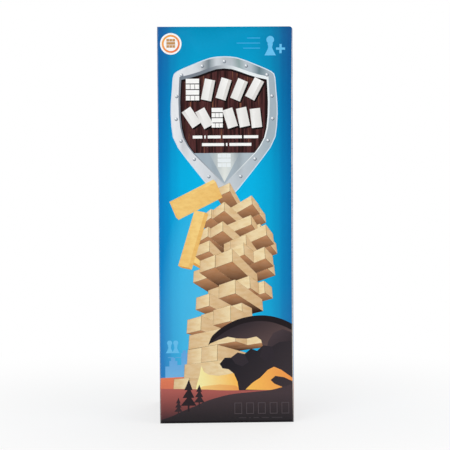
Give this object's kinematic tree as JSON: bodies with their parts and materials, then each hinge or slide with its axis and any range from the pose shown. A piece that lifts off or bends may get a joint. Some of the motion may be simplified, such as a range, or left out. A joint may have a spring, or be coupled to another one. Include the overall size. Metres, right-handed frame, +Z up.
{
  "type": "boxed tumbling tower game",
  "caption": "Closed tall printed folding carton with tuck-in ends, holding a stacked tower of loose wooden blocks; both end closures fold open.",
  "frame": {"origin": "centre of the carton's bottom face, in the plane that it stands on", "axes": "+Z up along the tall carton, +X to the viewer's right, and the front panel faces -Y"},
  "size_m": [0.078, 0.0802, 0.23],
  "materials": {
    "front_print": "satin",
    "blue_print": "satin",
    "bare_board": "matte",
    "pale_wood": "matte"
  },
  "bodies": {
    "carton": {"front_panel": "front_print", "back_panel": "blue_print", "left_panel": "blue_print", "right_panel": "blue_print", "glue_flap": "bare_board"},
    "top_lid": {"top_lid": "blue_print"},
    "top_tongue": {"top_tongue": "blue_print"},
    "top_dust_flap_left": {"top_dust_flap_left": "bare_board"},
    "top_dust_flap_right": {"top_dust_flap_right": "bare_board"},
    "bottom_lid": {"bottom_lid": "blue_print"},
    "bottom_tongue": {"bottom_tongue": "blue_print"},
    "bottom_dust_flap_left": {"bottom_dust_flap_left": "bare_board"},
    "bottom_dust_flap_right": {"bottom_dust_flap_right": "bare_board"},
    "tower": {"block_01_front": "pale_wood", "block_01_middle": "pale_wood", "block_01_back": "pale_wood", "block_02_left": "pale_wood", "block_02_middle": "pale_wood", "block_02_right": "pale_wood", "block_03_front": "pale_wood", "block_03_middle": "pale_wood", "block_03_back": "pale_wood", "block_04_left": "pale_wood", "block_04_middle": "pale_wood", "block_04_right": "pale_wood", "block_05_front": "pale_wood", "block_05_middle": "pale_wood", "block_05_back": "pale_wood", "block_06_left": "pale_wood", "block_06_middle": "pale_wood", "block_06_right": "pale_wood", "block_07_front": "pale_wood", "block_07_middle": "pale_wood", "block_07_back": "pale_wood", "block_08_left": "pale_wood", "block_08_middle": "pale_wood", "block_08_right": "pale_wood", "block_09_front": "pale_wood", "block_09_middle": "pale_wood", "block_09_back": "pale_wood", "block_10_left": "pale_wood", "block_10_middle": "pale_wood", "block_10_right": "pale_wood", "block_11_front": "pale_wood", "block_11_middle": "pale_wood", "block_11_back": "pale_wood", "block_12_left": "pale_wood", "block_12_middle": "pale_wood", "block_12_right": "pale_wood", "block_13_front": "pale_wood", "block_13_middle": "pale_wood", "block_13_back": "pale_wood", "block_14_left": "pale_wood", "block_14_middle": "pale_wood", "block_14_right": "pale_wood", "block_15_front": "pale_wood", "block_15_middle": "pale_wood", "block_15_back": "pale_wood"}
  },
  "joints": [
    {"name": "top_lid_hinge", "type": "hinge", "parent": "carton", "child": "top_lid", "pos_m": [0, 0.03983, 0.2297], "axis": [-1, 0, 0], "range_deg": [0, 180]},
    {"name": "top_tongue_fold", "type": "hinge", "parent": "top_lid", "child": "top_tongue", "pos_m": [0, -0.03908, 0.2297], "axis": [-1, 0, 0], "range_deg": [0, 80]},
    {"name": "top_dust_flap_left_fold", "type": "hinge", "parent": "carton", "child": "top_dust_flap_left", "pos_m": [-0.0387, 0, 0.2289], "axis": [0, -1, 0], "range_deg": [0, 110]},
    {"name": "top_dust_flap_right_fold", "type": "hinge", "parent": "carton", "child": "top_dust_flap_right", "pos_m": [0.0387, 0, 0.2289], "axis": [0, 1, 0], "range_deg": [0, 110]},
    {"name": "bottom_lid_hinge", "type": "hinge", "parent": "carton", "child": "bottom_lid", "pos_m": [0, 0.03983, 0.0003], "axis": [1, 0, 0], "range_deg": [0, 180]},
    {"name": "bottom_tongue_fold", "type": "hinge", "parent": "bottom_lid", "child": "bottom_tongue", "pos_m": [0, -0.03908, 0.0003], "axis": [1, 0, 0], "range_deg": [0, 80]},
    {"name": "bottom_dust_flap_left_fold", "type": "hinge", "parent": "carton", "child": "bottom_dust_flap_left", "pos_m": [-0.0387, 0, 0.0011], "axis": [0, 1, 0], "range_deg": [0, 110]},
    {"name": "bottom_dust_flap_right_fold", "type": "hinge", "parent": "carton", "child": "bottom_dust_flap_right", "pos_m": [0.0387, 0, 0.0011], "axis": [0, -1, 0], "range_deg": [0, 110]},
    {"name": "tower_lift", "type": "slide", "parent": "carton", "child": "tower", "axis": [0, 0, 1], "range_m": [0, 0.0015]}
  ],
  "couplings": [
    {"joint": "top_tongue_fold", "follows": "top_lid_hinge", "ratio": 0.44444},
    {"joint": "top_dust_flap_left_fold", "follows": "top_lid_hinge", "ratio": 0.6},
    {"joint": "top_dust_flap_right_fold", "follows": "top_lid_hinge", "ratio": 0.6},
    {"joint": "bottom_tongue_fold", "follows": "bottom_lid_hinge", "ratio": 0.44444},
    {"joint": "bottom_dust_flap_left_fold", "follows": "bottom_lid_hinge", "ratio": 0.6},
    {"joint": "bottom_dust_flap_right_fold", "follows": "bottom_lid_hinge", "ratio": 0.6}
  ]
}
